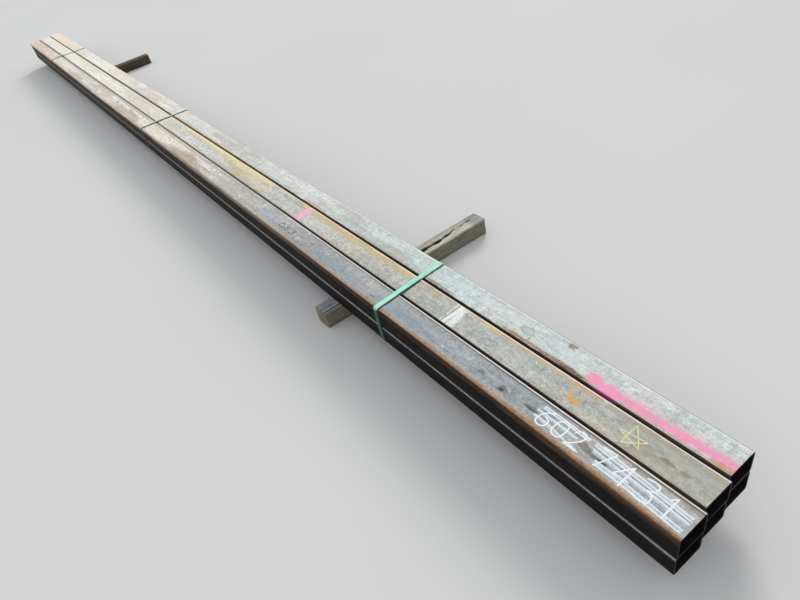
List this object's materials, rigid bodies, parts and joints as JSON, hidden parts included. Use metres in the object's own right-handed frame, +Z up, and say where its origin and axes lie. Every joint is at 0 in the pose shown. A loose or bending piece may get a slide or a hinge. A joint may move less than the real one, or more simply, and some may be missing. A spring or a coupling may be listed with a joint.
{
  "type": "bundle of rectangular steel tubes",
  "caption": "Strapped stack of long rectangular steel tubes, open at both ends, lying on sawn timber bearers.",
  "frame": {"origin": "on the floor under the middle of the bearers and of the tubes", "axes": "+X along the tubes to the near end, +Y to the right seen from the near end, +Z up"},
  "size_m": [7.333, 0.8, 0.2295],
  "materials": {
    "tube_steel": "mill scale, satin, with light rust along the corners and shop marks in paint",
    "strap_band": "semi-gloss green paint on thin steel band",
    "bearer_timber": "rough sawn, weathered grey, with drying splits"
  },
  "bodies": {
    "root": {"tube_bottom_left": "tube_steel", "tube_bottom_middle": "tube_steel", "tube_bottom_right": "tube_steel", "tube_top_left": "tube_steel", "tube_top_middle": "tube_steel", "tube_top_right": "tube_steel", "strap_near": "strap_band", "strap_middle": "strap_band", "strap_far": "strap_band", "bearer_near": "bearer_timber", "bearer_far": "bearer_timber"}
  },
  "joints": []
}
